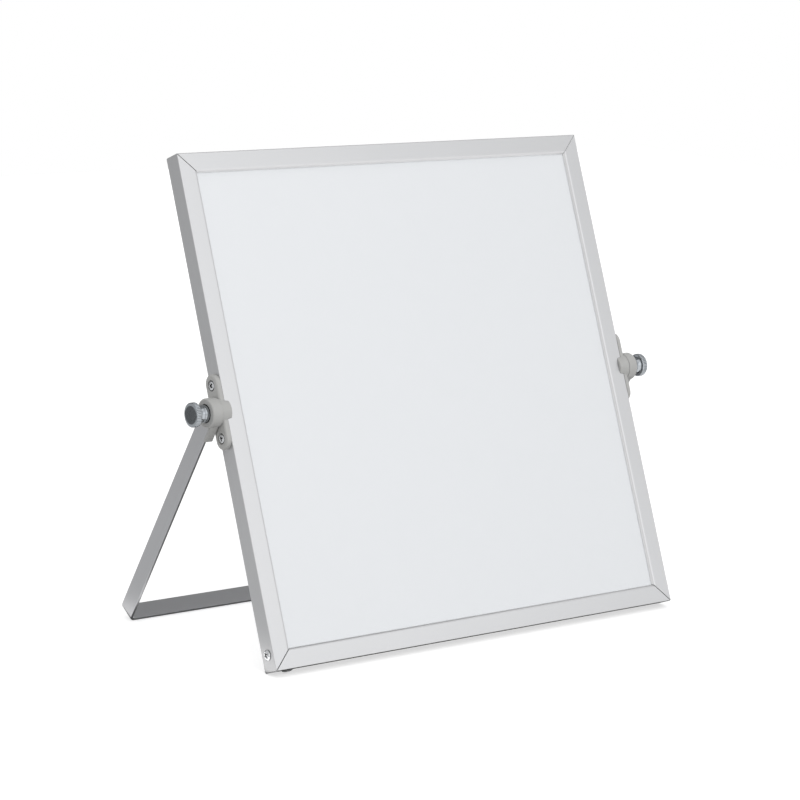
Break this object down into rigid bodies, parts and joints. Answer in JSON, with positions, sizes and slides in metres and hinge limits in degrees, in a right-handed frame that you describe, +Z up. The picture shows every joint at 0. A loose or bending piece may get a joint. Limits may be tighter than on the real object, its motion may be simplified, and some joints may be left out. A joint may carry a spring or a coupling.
{
  "type": "magnetic whiteboard easel",
  "caption": "Square two-faced magnetic whiteboard in a slim metal frame, turning on thumbscrew pivots in a bent strip stand.",
  "frame": {"origin": "on the desk, under the centre of the whole object's bounding box", "axes": "+X towards the viewer's right when the front face is seen, +Y towards the back, +Z up"},
  "size_m": [0.2882, 0.1266, 0.2387],
  "materials": {
    "rail_aluminium": "satin anodised",
    "lacquered_sheet": "white gloss lacquer",
    "core_fibreboard": "raw fibreboard",
    "key_plastic": "moulded",
    "screw_steel": "bright zinc",
    "pivot_plastic": "moulded, fine grain",
    "insert_brass": "turned",
    "strip_aluminium": "satin anodised",
    "washer_nylon": "moulded",
    "thumbscrew_zinc": "bright plated, knurled"
  },
  "bodies": {
    "stand": {"stand_strip": "strip_aluminium", "left_hub": "pivot_plastic", "right_hub": "pivot_plastic"},
    "board": {"top_rail": "rail_aluminium", "bottom_rail": "rail_aluminium", "left_rail": "rail_aluminium", "right_rail": "rail_aluminium", "front_sheet": "lacquered_sheet", "back_sheet": "lacquered_sheet", "core_board": "core_fibreboard", "top_left_key": "key_plastic", "top_right_key": "key_plastic", "bottom_left_key": "key_plastic", "bottom_right_key": "key_plastic", "left_side_screw": "screw_steel", "right_side_screw": "screw_steel", "left_bottom_screw": "screw_steel", "left_bracket": "pivot_plastic", "right_bracket": "pivot_plastic", "left_upper_screw": "screw_steel", "left_lower_screw": "screw_steel", "right_upper_screw": "screw_steel", "right_lower_screw": "screw_steel", "left_insert": "insert_brass", "right_insert": "insert_brass"},
    "left_washer": {"left_washer": "washer_nylon"},
    "right_washer": {"right_washer": "washer_nylon"},
    "left_thumbscrew": {"left_thumbscrew": "thumbscrew_zinc"},
    "right_thumbscrew": {"right_thumbscrew": "thumbscrew_zinc"}
  },
  "joints": [
    {"name": "board_turn", "type": "hinge", "parent": "stand", "child": "board", "pos_m": [0, -0.01084, 0.11935], "axis": [1, 0, 0], "continuous": true},
    {"name": "left_screw_travel", "type": "slide", "parent": "board", "child": "left_washer", "axis": [-1, 0, 0], "range_m": [0, 0.0016]},
    {"name": "left_screw_turn", "type": "hinge", "parent": "left_washer", "child": "left_thumbscrew", "pos_m": [0, -0.01084, 0.11935], "axis": [-1, 0, 0], "range_deg": [0, 720]},
    {"name": "right_screw_travel", "type": "slide", "parent": "board", "child": "right_washer", "axis": [1, 0, 0], "range_m": [0, 0.0016]},
    {"name": "right_screw_turn", "type": "hinge", "parent": "right_washer", "child": "right_thumbscrew", "pos_m": [0, -0.01084, 0.11935], "axis": [1, 0, 0], "range_deg": [0, 720]}
  ],
  "couplings": [
    {"joint": "left_screw_travel", "follows": "left_screw_turn", "m_per_rad": 0.00012732},
    {"joint": "right_screw_travel", "follows": "right_screw_turn", "m_per_rad": 0.00012732}
  ]
}
